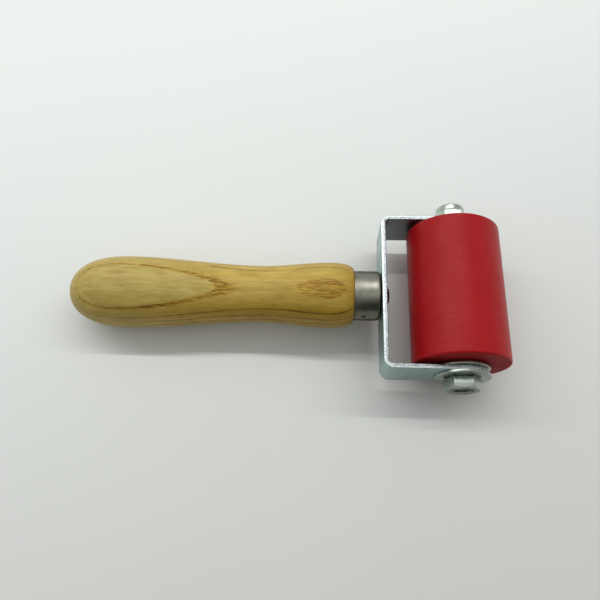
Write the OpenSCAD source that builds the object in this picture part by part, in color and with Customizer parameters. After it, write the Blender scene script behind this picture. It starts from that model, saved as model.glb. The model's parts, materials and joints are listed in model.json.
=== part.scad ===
// Hand roller: a rubber-covered roller in a bent strap fork, on a turned wooden handle.
// Millimetres. The tool lies at rest, on its roller and on the belly of its handle.
// Origin: on the surface, under the middle of the roller. +X runs from the handle to the
// roller, +Y along the axle towards the lock nut, +Z up.

/* [Roller] */
// Diameter of the rubber roller
roller_d = 38.1; // [30:0.1:46]
// Length of the rubber roller
roller_len = 57.8; // [40:0.1:80]
// Radius that rounds the ends of the rubber
roller_edge = 1; // [0.4:0.1:3]
// Outside diameter of the steel tube inside the rubber
core_d = 15.9; // [14.5:0.1:18]
// Wall of the steel tube
core_wall = 1.6; // [1:0.1:2]
// Length of a bush inside the tube
bush_len = 12; // [8:0.5:18]
// Thickness of a bush's flange
flange_t = 1.5; // [1:0.1:2.5]
// How far a bush's flange stands proud of the rubber
flange_proud = 0.3; // [0.1:0.05:0.6]

/* [Fork] */
// Width of the steel strap
strap_w = 19; // [14:0.1:22]
// Thickness of the steel strap
strap_t = 2; // [1.5:0.1:3]
// Bevel along the strap's edges
strap_edge = 0.3; // [0.1:0.05:0.6]
// Inside radius of the two bends
bend_r = 1.8; // [1:0.1:4]
// Open gap between the roller and the fork's web
web_gap = 9.9; // [6:0.1:16]

/* [Axle] */
// Diameter of the axle bolt
bolt_d = 7.9; // [6:0.1:9]
// Width across the flats of the bolt's head and the nut
hex_af = 12.7; // [12:0.1:15]
// Height of the bolt's head
head_h = 4.9; // [4:0.1:7]
// Diameter of the dish in the bolt's head
dish_d = 8.5; // [6:0.1:10]
// Depth of the dish in the bolt's head
dish_depth = 0.7; // [0.3:0.1:1.5]
// Angle that turns the corners of the head about the axle
head_turn = 53; // [0:1:59]
// Bevel on the bolt's end
bolt_end_bevel = 0.8; // [0.3:0.1:1.2]
// Height of the nut's hexagon
nut_hex_h = 5.4; // [4:0.1:7]
// How far the nut's round collar stands in from the flats
nut_collar_step = 0.4; // [0.2:0.1:0.6]
// Height of the nut's round collar
nut_collar_h = 3; // [2.4:0.1:4]
// Wall of the nut's round collar
nut_collar_wall = 0.8; // [0.5:0.1:1]
// Height of the nylon ring in the collar
insert_h = 2; // [1.2:0.1:2]
// How far the bolt's end stays below the nut's top
bolt_end_depth = 0.6; // [0.2:0.1:1.5]
// Outside diameter of the washers
washer_d = 22; // [16:0.1:26]
// Thickness of a washer
washer_t = 1.2; // [1:0.1:2.5]
// Bevel on the rim of a washer
washer_edge = 0.25; // [0.1:0.05:0.4]

/* [Handle] */
// Length of the wood from its shoulder to its butt
handle_len = 117; // [95:1:150]
// Largest diameter, at the belly
belly_d = 29.5; // [26:0.1:36]
// Distance from the butt to the belly
belly_from_butt = 24.5; // [16:0.5:30]
// Diameter of the waist
waist_d = 23.2; // [19:0.1:25]
// Distance from the shoulder to the waist
waist_from_shoulder = 37; // [28:0.5:45]
// Diameter of the swell next to the ferrule
swell_d = 26.8; // [25:0.1:32]
// Distance from the shoulder to the swell
swell_from_shoulder = 9.8; // [6:0.1:16]
// Fullness of the rounded ends: 2 is an ellipse, more is squarer
end_fullness = 2.35; // [2:0.05:3]

/* [Ferrule and tang] */
// Outside diameter of the ferrule
ferrule_d = 20.2; // [18:0.1:22]
// Length of the ferrule that shows
ferrule_len = 10.4; // [7:0.1:16]
// Wall of the ferrule
ferrule_wall = 0.9; // [0.7:0.1:1.2]
// Radius that rounds the ferrule's front
ferrule_lip = 1; // [1:0.1:2]
// Gap between the ferrule and the fork
ferrule_gap = 0.5; // [0.4:0.1:2]
// Distance from the shoulder to the punch mark in the ferrule
stake_from_shoulder = 4.2; // [2.5:0.1:6]
// Angle of the punch mark round the ferrule, from the top towards the bolt's head
stake_angle = 80; // [0:1:180]
// Diameter of the punch mark
stake_d = 2.6; // [2:0.1:4]
// Depth of the punch mark
stake_depth = 0.6; // [0.2:0.05:0.65]
// Diameter of the tang
tang_d = 8; // [6.5:0.1:9]
// Length of the tang inside the wood
tang_depth = 58; // [30:1:70]
// Depth of the grip grooves round the tang
tang_groove = 0.5; // [0.2:0.1:0.8]
// Number of grip grooves
tang_groove_count = 4; // [1:1:6]
// Diameter of the rivet end that goes through the fork
rivet_d = 5.6; // [4:0.1:6]
// Diameter of the peened rivet head
rivet_head_d = 8.4; // [6.4:0.1:10]
// Height of the peened rivet head
rivet_head_h = 1.6; // [1:0.1:2.5]
// Radius that rounds the peened rivet head
rivet_head_edge = 1; // [0.5:0.1:1]

/* [Clearances] */
// Radial running clearance between a bush and the bolt
run_fit = 0.06; // [0.02:0.01:0.1]
// End play between a bush's flange and its thrust washer
side_play = 0.25; // [0.1:0.05:0.5]
// Radial clearance of the bolt in the fork and the washers
bolt_hole_fit = 0.2; // [0.1:0.05:0.4]
// Radial clearance of the bolt in the nut and its nylon ring
thread_fit = 0.05; // [0.02:0.01:0.1]
// Radial allowance where one piece is pressed into another
press_fit = 0.03; // [0.02:0.01:0.1]

/* [Hidden] */
$fn = 96;

// A cut runs this far past the face that it opens.
past = 1;
hex_corner_d = hex_af / cos(30);
// Round bevel on the corners of a hexagon: its angle, and how far it starts inside the flats
corner_angle = 30;
corner_inset = 0.3;
roller_r = roller_d / 2;

// Places along the axle, from the middle of the roller
flange_face = roller_len / 2 + flange_proud;
flange_seat = flange_face - flange_t;
leg_inside = flange_face + side_play + washer_t;
leg_outside = leg_inside + strap_t;
head_seat = leg_outside + washer_t;
nut_h = nut_hex_h + nut_collar_h;
bolt_end = leg_outside + nut_h - bolt_end_depth;

// Places along the handle, from the axle
web_inside = -(roller_r + web_gap);
web_outside = web_inside - strap_t;
ferrule_front = web_outside - ferrule_gap;
shoulder = ferrule_front - ferrule_len;
swell = shoulder - swell_from_shoulder;
waist = shoulder - waist_from_shoulder;
butt = shoulder - handle_len;
belly = butt + belly_from_butt;

// Sizes that follow from a neighbour
bore_d = bolt_d + 2 * run_fit;
bolt_hole_d = bolt_d + 2 * bolt_hole_fit;
thread_hole_d = bolt_d + 2 * thread_fit;
tube_bore_d = core_d - 2 * core_wall;
collar_d = hex_af - 2 * nut_collar_step;
insert_d = collar_d - 2 * nut_collar_wall;
collar_mouth_d = (insert_d + thread_hole_d) / 2;
tenon_d = ferrule_d - 2 * ferrule_wall - 2 * press_fit;
tenon_end = ferrule_front - ferrule_wall;
tang_hole_d = tang_d + 2 * press_fit;
tang_end = tenon_end - tang_depth;
tang_tip = tang_d / 2;

// Points of an arc round a centre, from one angle to another
function arc(centre, r, from, to, steps = 8) =
    [for (i = [0 : steps]) let (a = from + (to - from) * i / steps)
        centre + r * [cos(a), sin(a)]];

// Points of a rounded end: it falls from full height at the start to nothing at the reach
function rounded_end(start, reach, height, steps) =
    [for (i = [0 : steps]) let (a = 90 * i / steps, e = 2 / end_fullness)
        [start + reach * pow(sin(a), e), height * pow(max(cos(a), 0), e)]];

// Points of a smooth sweep that is level at both ends, without the two ends themselves
function level_sweep(from, to, steps) =
    [for (i = [1 : steps - 1]) let (t = i / steps)
        [from.x + (to.x - from.x) * t, from.y + (to.y - from.y) * t * t * (3 - 2 * t)]];

function reversed(points) = [for (i = [len(points) - 1 : -1 : 0]) points[i]];

// Outline of the handle's grip: distance from the axle and radius, from the butt to the shoulder
grip_outline = concat(
    reversed(rounded_end(belly, butt - belly, belly_d / 2, 16)),
    level_sweep([belly, belly_d / 2], [waist, waist_d / 2], 18),
    [[waist, waist_d / 2]],
    level_sweep([waist, waist_d / 2], [swell, swell_d / 2], 12),
    [for (p = rounded_end(swell, shoulder - swell, (swell_d - ferrule_d) / 2, 8))
        p + [0, ferrule_d / 2]]
);

// The handle swings down about the axle until the first point of its grip meets the surface.
rest_pitch = min([for (p = grip_outline) asin(roller_r / norm(p)) - atan2(p.y, -p.x)]);

// Carries the tool from its own axes, with the axle at the origin, to the way it lies
module at_rest() translate([0, 0, roller_r]) rotate([0, -rest_pitch, 0]) children();

// Stands a shape that was made along Z along the axle, towards +Y
module along_axle() rotate([-90, 0, 0]) children();

// Turns an outline of distance and radius about the handle's own axis
module turned(outline) rotate([0, 90, 0]) rotate_extrude() polygon([for (p = outline) [p.y, p.x]]);

module hexagon(height) cylinder(h = height, d = hex_corner_d, $fn = 6);

// Limits a hexagon's corners to a round bevel, at its foot or at both ends
module corner_bevel(height, both_ends) {
    start = hex_af / 2 - corner_inset;
    reach = hex_corner_d / 2 + past;
    rise = (reach - start) * tan(corner_angle);
    rotate_extrude() polygon([
        [0, 0],
        [start, 0],
        [reach, rise],
        [reach, both_ends ? height - rise : height],
        [both_ends ? start : reach, height],
        [0, height]
    ]);
}

// Turned ash: a full butt, a waist for the fingers, and a tenon that fills the ferrule
module handle() color([0.72, 0.56, 0.30]) at_rest() difference() {
    turned(concat(
        grip_outline,
        [[shoulder, tenon_d / 2], [tenon_end, tenon_d / 2], [tenon_end, 0]]
    ));
    turned([
        [tenon_end + past, 0],
        [tenon_end + past, tang_hole_d / 2],
        [tang_end + tang_tip, tang_hole_d / 2],
        [tang_end, 0]
    ]);
}

// Drawn steel cap over the tenon, with a rounded front, staked to the wood by one punch mark
module ferrule() color([0.62, 0.60, 0.56]) at_rest() difference() {
    turned(concat(
        [[shoulder, ferrule_d / 2 - ferrule_wall], [shoulder, ferrule_d / 2]],
        arc([ferrule_front - ferrule_lip, ferrule_d / 2 - ferrule_lip], ferrule_lip, 90, 0),
        [
            [ferrule_front, tang_hole_d / 2],
            [tenon_end, tang_hole_d / 2],
            [tenon_end, ferrule_d / 2 - ferrule_wall]
        ]
    ));
    stake_from_axis = ferrule_d / 2 - stake_depth + stake_d / 2;
    translate([shoulder + stake_from_shoulder, 0, 0])
        rotate([stake_angle, 0, 0])
        translate([0, 0, stake_from_axis]) sphere(d = stake_d);
}

// Steel rod: grooved and pointed in the wood, shouldered against the web and peened inside it
module tang() color([0.55, 0.56, 0.57]) at_rest() {
    r = tang_d / 2;
    groove_step = (tang_depth - tang_tip) / (tang_groove_count + 1);
    grooves = [for (i = [1 : tang_groove_count]) let (x = tang_end + tang_tip + i * groove_step)
        each [[x - tang_groove, r], [x, r - tang_groove], [x + tang_groove, r]]];
    head_end = web_inside + rivet_head_h;
    turned(concat(
        [[tang_end, 0], [tang_end + tang_tip, r]],
        grooves,
        [[web_outside, r], [web_outside, rivet_d / 2], [web_inside, rivet_d / 2]],
        [[web_inside, rivet_head_d / 2]],
        arc([head_end, rivet_head_d / 2] - rivet_head_edge * [1, 1], rivet_head_edge, 90, 0),
        [[head_end, 0]]
    ));
}

// Section of the strap: its thickness across and its width up, with bevelled edges
module strap_section() {
    t = strap_t;
    w = strap_w / 2;
    e = strap_edge;
    polygon([
        [0, e - w], [e, -w], [t - e, -w], [t, e - w],
        [t, w - e], [t - e, w], [e, w], [0, w - e]
    ]);
}

// One half of the fork: half the web, a bend, a leg and its round eye
module fork_half() {
    leg_start = web_inside + bend_r;
    web_end = leg_inside - bend_r;
    translate([web_inside, 0, 0]) rotate([-90, 0, 0]) linear_extrude(web_end)
        mirror([1, 0]) strap_section();
    translate([leg_start, web_end, 0]) rotate(90) rotate_extrude(angle = 90)
        translate([bend_r, 0]) strap_section();
    translate([0, leg_inside, 0]) rotate([0, -90, 0]) linear_extrude(-leg_start)
        rotate(90) mirror([0, 1]) strap_section();
    translate([0, leg_inside, 0]) along_axle() rotate(-90) rotate_extrude(angle = 180) polygon([
        [0, 0],
        [strap_w / 2 - strap_edge, 0],
        [strap_w / 2, strap_edge],
        [strap_w / 2, strap_t - strap_edge],
        [strap_w / 2 - strap_edge, strap_t],
        [0, strap_t]
    ]);
}

// Plated steel strap bent into a U, with an eye in each leg for the axle
module fork() color([0.66, 0.72, 0.72]) at_rest() difference() {
    union() {
        fork_half();
        mirror([0, 1, 0]) fork_half();
    }
    along_axle() cylinder(h = 2 * (leg_outside + past), d = bolt_hole_d, center = true);
    translate([web_outside - past, 0, 0]) rotate([0, 90, 0])
        cylinder(h = strap_t + 2 * past, d = rivet_d + 2 * press_fit);
}

// Hexagon bolt that is the axle, with a dish pressed into its head
module axle_bolt() color([0.70, 0.74, 0.72]) at_rest() along_axle() {
    bolt_len = head_seat + bolt_end;
    translate([0, 0, -head_seat - head_h]) difference() {
        intersection() {
            rotate(head_turn) hexagon(head_h);
            corner_bevel(head_h, both_ends = false);
        }
        translate([0, 0, -past]) cylinder(h = past + dish_depth, d = dish_d);
    }
    translate([0, 0, -head_seat]) rotate_extrude() polygon([
        [0, 0],
        [bolt_d / 2, 0],
        [bolt_d / 2, bolt_len - bolt_end_bevel],
        [bolt_d / 2 - bolt_end_bevel, bolt_len],
        [0, bolt_len]
    ]);
}

// Flat washer that stands on the XY plane
module washer() rotate_extrude() polygon([
    [bolt_hole_d / 2, 0],
    [washer_d / 2 - washer_edge, 0],
    [washer_d / 2, washer_edge],
    [washer_d / 2, washer_t - washer_edge],
    [washer_d / 2 - washer_edge, washer_t],
    [bolt_hole_d / 2, washer_t]
]);

module washer_at(place) color([0.72, 0.75, 0.74]) at_rest() along_axle()
    translate([0, 0, place]) washer();

// Washer under the bolt's head
module head_washer() washer_at(-head_seat);

// Washers that keep the roller off the legs
module thrust_washer_near() washer_at(-leg_inside);
module thrust_washer_far() washer_at(leg_inside - washer_t);

// Hexagon nut with a round collar that is rolled over its nylon ring
module lock_nut() color([0.72, 0.76, 0.73]) at_rest() along_axle() translate([0, 0, leg_outside])
difference() {
    union() {
        intersection() {
            hexagon(nut_hex_h);
            corner_bevel(nut_hex_h, both_ends = true);
        }
        rotate_extrude() polygon(concat(
            [[0, nut_hex_h / 2], [collar_d / 2, nut_hex_h / 2]],
            arc([collar_d / 2 - nut_collar_wall, nut_h - nut_collar_wall], nut_collar_wall, 0, 90),
            [[0, nut_h]]
        ));
    }
    translate([0, 0, -past]) cylinder(h = nut_hex_h + 2 * past, d = thread_hole_d);
    translate([0, 0, nut_hex_h]) cylinder(h = insert_h, d = insert_d);
    translate([0, 0, nut_hex_h]) cylinder(h = nut_collar_h + past, d = collar_mouth_d);
}

// Nylon ring that grips the bolt's thread
module nut_insert() color([0.90, 0.91, 0.88]) at_rest() along_axle()
translate([0, 0, leg_outside + nut_hex_h]) difference() {
    cylinder(h = insert_h, d = insert_d - 2 * press_fit);
    translate([0, 0, -past]) cylinder(h = insert_h + 2 * past, d = thread_hole_d);
}

// Solid red rubber, moulded on the tube
module roller_sleeve() color([0.66, 0.12, 0.14]) at_rest() along_axle() rotate_extrude() {
    r = roller_r;
    half = roller_len / 2;
    e = roller_edge;
    bore_r = core_d / 2 + press_fit;
    polygon(concat(
        [[bore_r, -half]],
        arc([r - e, e - half], e, -90, 0),
        arc([r - e, half - e], e, 0, 90),
        [[bore_r, half]]
    ));
}

// Steel tube inside the rubber, cut short by the bushes' flanges
module roller_core() color([0.60, 0.61, 0.62]) at_rest() along_axle() difference() {
    cylinder(h = 2 * flange_seat, d = core_d, center = true);
    cylinder(h = 2 * flange_seat + 2 * past, d = tube_bore_d, center = true);
}

// Flanged bronze bush, pressed into the tube from its end at the top
module bush() color([0.70, 0.52, 0.28]) rotate_extrude() polygon([
    [bore_d / 2, flange_seat - bush_len],
    [tube_bore_d / 2 - press_fit, flange_seat - bush_len],
    [tube_bore_d / 2 - press_fit, flange_seat],
    [core_d / 2 - press_fit, flange_seat],
    [core_d / 2 - press_fit, flange_face],
    [bore_d / 2, flange_face]
]);

module bush_near() at_rest() along_axle() mirror([0, 0, 1]) bush();
module bush_far() at_rest() along_axle() bush();

handle();
ferrule();
tang();
fork();
axle_bolt();
head_washer();
thrust_washer_near();
thrust_washer_far();
lock_nut();
nut_insert();
roller_sleeve();
roller_core();
bush_near();
bush_far();
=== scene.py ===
import json
import math

import bmesh
import bpy
import numpy as np
from mathutils import Matrix, Vector

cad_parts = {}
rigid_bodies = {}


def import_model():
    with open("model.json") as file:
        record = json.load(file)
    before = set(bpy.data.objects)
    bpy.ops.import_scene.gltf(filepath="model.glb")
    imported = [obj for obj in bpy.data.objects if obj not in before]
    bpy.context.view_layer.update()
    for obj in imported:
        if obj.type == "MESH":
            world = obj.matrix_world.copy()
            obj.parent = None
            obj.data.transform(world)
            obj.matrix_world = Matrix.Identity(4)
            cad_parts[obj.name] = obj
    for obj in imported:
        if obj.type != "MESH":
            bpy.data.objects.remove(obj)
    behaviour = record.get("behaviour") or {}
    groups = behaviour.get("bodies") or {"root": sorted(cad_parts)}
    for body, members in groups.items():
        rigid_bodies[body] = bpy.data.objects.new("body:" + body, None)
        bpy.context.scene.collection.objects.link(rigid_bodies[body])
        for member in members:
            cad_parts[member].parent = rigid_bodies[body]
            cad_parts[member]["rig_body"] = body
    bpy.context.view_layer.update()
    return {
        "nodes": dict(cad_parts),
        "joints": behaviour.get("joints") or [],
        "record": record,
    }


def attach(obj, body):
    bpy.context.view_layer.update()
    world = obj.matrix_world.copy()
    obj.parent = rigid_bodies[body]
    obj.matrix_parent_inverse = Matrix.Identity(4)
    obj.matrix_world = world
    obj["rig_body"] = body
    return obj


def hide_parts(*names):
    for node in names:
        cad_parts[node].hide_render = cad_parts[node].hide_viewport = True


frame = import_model()

# Fork
# One length of zinc-plated steel strap with two round ends. It is punched for the axle bolt and for
# the rivet of the tang, then bent twice over a former into a U. Everything else is fixed to it.
mm = 0.001

# The tool lies on its roller and on the belly of its handle, so its own axes tip about the axle.
axle_place = Vector(frame["joints"][0]["pos_m"])
grip_axis = next(m["axis"] for m in frame["record"]["mounts"] if m["name"] == "hand_grip")
tool_pitch = math.atan2(-grip_axis[2], -grip_axis[0])
tool = Matrix.Translation(axle_place) @ Matrix.Rotation(-tool_pitch, 4, "Y")


def span(node):
    """Lowest and highest corner of a piece in the tool's axes: -X along the handle, Y along the axle."""
    to_tool = np.array(tool.inverted())
    points = np.array([v.co for v in frame["nodes"][node].data.vertices])
    own = points @ to_tool[:3, :3].T + to_tool[:3, 3]
    return own.min(axis=0), own.max(axis=0)


fork_low, fork_high = span("fork")
strap_half = fork_high[2]
leg_outside = fork_high[1]
leg_inside = span("thrust_washer_far")[1][1]
strap_t = leg_outside - leg_inside
web_outside = fork_low[0]
web_inside = web_outside + strap_t
bend_r = 1.8 * mm
strap_edge = 0.35 * mm
bolt_hole_r = 4.15 * mm
press_fit = 0.03 * mm
rivet_r = 2.8 * mm
rivet_hole_r = rivet_r + press_fit
web_half = leg_inside - bend_r
bend_length = bend_r * math.pi / 2
eye_place = web_half + bend_length - web_inside - bend_r

# Counts of mesh steps: across the strap, along a straight side of a patch, round an eye, out from a
# hole, and along half the web, a bend and a leg
across_steps = 12
side_steps = 8
eye_steps = 48
ring_steps = 6
web_steps = 9
bend_steps = 13
leg_steps = 7


def patch_round_hole(edge, hole_r):
    """Quads between a hole and the edge that runs anticlockwise round it, on the flat blank."""
    edge = np.array(edge)
    hole = edge * (hole_r / np.linalg.norm(edge, axis=1))[:, None]
    rings = [hole + (edge - hole) * k / ring_steps for k in range(ring_steps + 1)]
    count = len(edge)
    quads = [
        [k * count + i, (k + 1) * count + i, (k + 1) * count + j, k * count + j]
        for k in range(ring_steps)
        for i in range(count)
        for j in [(i + 1) % count]
    ]
    return np.concatenate(rings), quads


def strip(along):
    """Quads of the strap's full width at these places along the flat blank."""
    across = np.linspace(-strap_half, strap_half, across_steps + 1)
    points = np.array([(place, aside) for place in along for aside in across])
    row = across_steps + 1
    quads = [
        [i * row + j, (i + 1) * row + j, (i + 1) * row + j + 1, i * row + j + 1]
        for i in range(len(along) - 1)
        for j in range(across_steps)
    ]
    return points, quads


def side(start, end, steps):
    """Points from one corner of a patch up to, and without, the next."""
    return [np.array(start) + (np.array(end) - np.array(start)) * i / steps for i in range(steps)]


def bent_to_shape(blank):
    """Carries points of the flat blank, measured from the web's middle, to the inside of the bent fork."""
    along = np.abs(blank[:, 0])
    across = blank[:, 1]
    turn = np.clip(along - web_half, 0, bend_length) / bend_r
    past_bend = np.maximum(along - web_half - bend_length, 0)
    x = web_inside + bend_r * (1 - np.cos(turn)) + past_bend
    y = np.sign(blank[:, 0]) * (np.minimum(along, web_half) + bend_r * np.sin(turn))
    return np.stack([x, y, across], axis=1)


half = strap_half
round_end = [
    (half * math.sin(math.pi * i / eye_steps), -half * math.cos(math.pi * i / eye_steps))
    for i in range(eye_steps)
]
eye_edge = [
    *side((-half, half), (-half, -half), across_steps),
    *side((-half, -half), (0, -half), side_steps),
    *round_end,
    *side((0, half), (-half, half), side_steps),
]
rivet_edge = [
    *side((-half, half), (-half, -half), across_steps),
    *side((-half, -half), (half, -half), 2 * side_steps),
    *side((half, -half), (half, half), across_steps),
    *side((half, half), (-half, half), 2 * side_steps),
]
half_strip = np.concatenate([
    np.linspace(half, web_half, web_steps + 1),
    np.linspace(web_half, web_half + bend_length, bend_steps + 1)[1:],
    np.linspace(web_half + bend_length, eye_place - half, leg_steps + 1)[1:],
])
eye_points, eye_quads = patch_round_hole(eye_edge, bolt_hole_r)
blank_parts = [
    patch_round_hole(rivet_edge, rivet_hole_r),
    strip(half_strip),
    strip(-half_strip[::-1]),
    (eye_points + (eye_place, 0), eye_quads),
    (-eye_points - (eye_place, 0), eye_quads),
]


def joined(parts):
    """Points and faces of several parts as one list of each."""
    points, faces, count = [], [], 0
    for part_points, part_faces in parts:
        faces += [[count + i for i in face] for face in part_faces]
        points.append(part_points)
        count += len(part_points)
    return np.concatenate(points), faces


weld_distance = 0.0005 * mm
sharp_angle = math.radians(40)


def make_piece(name, points, faces, finish, node, closed=True):
    """A mesh, given in the tool's axes, that stands for a node and rides on its body, while the node is
    hidden.
    """
    mesh = bpy.data.meshes.new(name)
    mesh.from_pydata(points, [], faces)
    mesh.transform(tool)
    work = bmesh.new()
    work.from_mesh(mesh)
    bmesh.ops.remove_doubles(work, verts=work.verts, dist=weld_distance)
    if closed:
        bmesh.ops.recalc_face_normals(work, faces=work.faces)
    work.to_mesh(mesh)
    work.free()
    mesh.polygons.foreach_set("use_smooth", [True] * len(mesh.polygons))
    mesh.set_sharp_from_angle(angle=sharp_angle)
    mesh.materials.append(finish.material)
    piece = bpy.data.objects.new(name, mesh)
    bpy.context.scene.collection.objects.link(piece)
    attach(piece, frame["nodes"][node]["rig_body"])
    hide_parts(node)
    return piece


seed_steps = (7.3, 3.1, 5.7)


class Finish:
    """The surface of a piece: its shader, and the nodes that vary its colour, gloss and relief."""

    def __init__(self, name, sockets):
        self.material = bpy.data.materials.new(name)
        self.material.use_nodes = True
        self.tree = self.material.node_tree
        self.shader = self.tree.nodes["Principled BSDF"]
        self.place = self.node("Mapping", {
            "Vector": self.node("TexCoord", {}, output="Object"),
            "Location": axle_place,
            "Rotation": (0, -tool_pitch, 0),
        }, vector_type="TEXTURE")
        self.shade(sockets)

    def shade(self, sockets):
        """Sets the shader's sockets, from a node where a value varies over the surface."""
        for socket, value in sockets.items():
            self.feed(self.shader.inputs[socket], value)

    def feed(self, socket, value):
        """Links a socket to a node's output, or sets a plain value on it."""
        if isinstance(value, bpy.types.NodeSocket):
            self.tree.links.new(value, socket)
        else:
            socket.default_value = value

    def node(self, kind, inputs, output=0, **settings):
        """Adds a node with these inputs and settings, and gives one of its outputs."""
        made = self.tree.nodes.new("ShaderNode" + kind)
        for setting, value in settings.items():
            setattr(made, setting, value)
        for socket, value in inputs.items():
            self.feed(made.inputs[socket], value)
        return made.outputs[output]

    def along(self, axis):
        """Place along the tool's X, Y or Z, from the axle."""
        return self.node("SeparateXYZ", {0: self.place}, output=axis)

    def towards(self, direction):
        """Place along a direction in the tool's axes, from the axle."""
        return self.node(
            "VectorMath", {0: self.place, 1: direction}, output="Value", operation="DOT_PRODUCT"
        )

    def length(self, vector):
        """Length of a vector that another node gives."""
        return self.node("VectorMath", {0: vector}, output="Value", operation="LENGTH")

    def noise(self, reach, detail=3.0, seed=0.0, warp=0.0):
        """Cloudy noise, whose patches reach so far each way, or so far along the tool's X, Y and Z."""
        stretched = self.node("Mapping", {
            "Vector": self.place,
            "Scale": [1 / r for r in np.broadcast_to(reach, 3)],
            "Location": [seed * step for step in seed_steps],
        })
        return self.node("TexNoise", {
            "Vector": stretched, "Scale": 1.0, "Detail": detail, "Distortion": warp,
        })

    def math(self, operation, first, second=0.0):
        """One step of arithmetic."""
        return self.node("Math", {0: first, 1: second}, operation=operation)

    def shares(self, first, first_share, second, second_share):
        """Adds two values, each by its share."""
        parts = [self.math("MULTIPLY", first, first_share), self.math("MULTIPLY", second, second_share)]
        return self.math("ADD", *parts)

    def level(self, value, low, high, from_low=0.0, to_high=1.0):
        """Carries low..high to from_low..to_high and holds it at its ends."""
        return self.node("MapRange", {
            "Value": value, "From Min": low, "From Max": high, "To Min": from_low, "To Max": to_high,
        })

    def mix(self, share, first, second, blend="MIX"):
        """A colour between two, by share, or the first as the second tints it."""
        first, second = [(*c, 1) if isinstance(c, tuple) else c for c in (first, second)]
        return self.node("Mix", {0: share, 6: first, 7: second}, output=2, data_type="RGBA", blend_type=blend)

    def relief(self, height, depth):
        """Raises the surface by the height, of which 1 stands for the depth in metres."""
        self.shade({"Normal": self.node("Bump", {"Height": height, "Strength": 1.0, "Distance": depth})})


plating_relief = 0.01 * mm


def plated_zinc(name, pale, dull, lines_reach, gloss):
    """Bright zinc over steel: cloudy in tone and gloss, with the faint lines of the steel below it."""
    zinc = Finish(name, {"Metallic": 1.0})
    clouds = zinc.noise(5 * mm, detail=5.0)
    specks = zinc.noise(0.4 * mm, detail=2.0, seed=1.0)
    lines = zinc.noise(lines_reach, seed=2.0)
    tone = zinc.shares(clouds, 0.7, lines, 0.3)
    zinc.colour = zinc.mix(zinc.level(tone, 0.36, 0.64), dull, pale)
    zinc.height = zinc.shares(specks, 0.4, lines, 0.6)
    zinc.shade({
        "Base Color": zinc.colour,
        "Roughness": zinc.level(tone, 0.3, 0.7, gloss + 0.14, gloss),
    })
    return zinc


strap_pale = (0.435, 0.580, 0.575)
strap_dull = (0.335, 0.470, 0.465)
strap_lines = (40 * mm, 40 * mm, 0.3 * mm)
edge_bright = (0.64, 0.70, 0.70)
edge_dull = (0.45, 0.52, 0.52)
torn_bright = (0.58, 0.61, 0.65)
torn_dull = (0.25, 0.27, 0.295)
tear_dark = (0.13, 0.16, 0.17)
inside_shade_tint = (0.78, 0.67, 0.70)
strap_zinc = plated_zinc("strap_zinc", strap_pale, strap_dull, strap_lines, gloss=0.28)

# The shears burnish the outer half of each edge of the strap and tear the inner half. Depth is measured from
# the outside of the bent strap, over its legs, its web and the bends between them, and it is 1 on the inside,
# whose faces are tinted darker and warmer as painted shade.
outer_bend_r = bend_r + strap_t
off_middle = strap_zinc.math("ABSOLUTE", strap_zinc.along("Y"))
over_leg = strap_zinc.math("SUBTRACT", off_middle, leg_outside - outer_bend_r)
over_web = strap_zinc.math("SUBTRACT", web_outside + outer_bend_r, strap_zinc.along("X"))
from_bend = strap_zinc.length(strap_zinc.node("CombineXYZ", {
    0: strap_zinc.math("MAXIMUM", over_leg, 0.0),
    1: strap_zinc.math("MAXIMUM", over_web, 0.0),
}))
depth = strap_zinc.math("DIVIDE", strap_zinc.math("SUBTRACT", outer_bend_r, from_bend), strap_t)
waver = strap_zinc.noise((1.3 * mm, 1.3 * mm, 9 * mm), detail=4.0, seed=4.0)
waver = strap_zinc.math("SUBTRACT", waver, 0.5)
tear_place = strap_zinc.math("ADD", strap_zinc.math("MULTIPLY", waver, 0.8), 0.55)
past_tear = strap_zinc.math("SUBTRACT", depth, tear_place)
off_outside = strap_zinc.level(depth, 0.02, 0.08)
off_inside = strap_zinc.level(depth, 0.92, 0.98, 1.0, 0.0)
on_edge = strap_zinc.math("MULTIPLY", off_outside, off_inside)
burnished = strap_zinc.math("MULTIPLY", on_edge, strap_zinc.level(past_tear, -0.06, 0.0, 1.0, 0.0))
torn = strap_zinc.math("MULTIPLY", on_edge, strap_zinc.level(past_tear, 0.0, 0.06))
at_tear = strap_zinc.level(strap_zinc.math("ABSOLUTE", past_tear), 0.02, 0.09, 1.0, 0.0)
tear_line = strap_zinc.math("MULTIPLY", on_edge, at_tear)
ticks = strap_zinc.noise((0.6 * mm, 0.6 * mm, 9 * mm), detail=2.0, seed=9.0)
pits = strap_zinc.noise(0.5 * mm, detail=2.0, seed=5.0)
burnished_colour = strap_zinc.mix(strap_zinc.level(ticks, 0.42, 0.56), edge_dull, edge_bright)
torn_colour = strap_zinc.mix(strap_zinc.level(pits, 0.40, 0.56), torn_dull, torn_bright)
strap_colour = strap_zinc.mix(burnished, strap_zinc.colour, burnished_colour)
strap_colour = strap_zinc.mix(torn, strap_colour, torn_colour)
strap_colour = strap_zinc.mix(strap_zinc.math("MULTIPLY", tear_line, 0.7), strap_colour, tear_dark)
# Painted shade: the inner faces of the fork are tinted darker for the shade between the legs.
shaded_inside = strap_zinc.level(depth, 0.97, 0.995)
strap_colour = strap_zinc.mix(shaded_inside, strap_colour, inside_shade_tint, blend="MULTIPLY")
strap_zinc.shade({"Base Color": strap_colour})
torn_pits = strap_zinc.math("MULTIPLY", strap_zinc.math("MULTIPLY", torn, pits), 6.0)
strap_zinc.relief(strap_zinc.math("ADD", strap_zinc.height, torn_pits), plating_relief)

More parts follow.
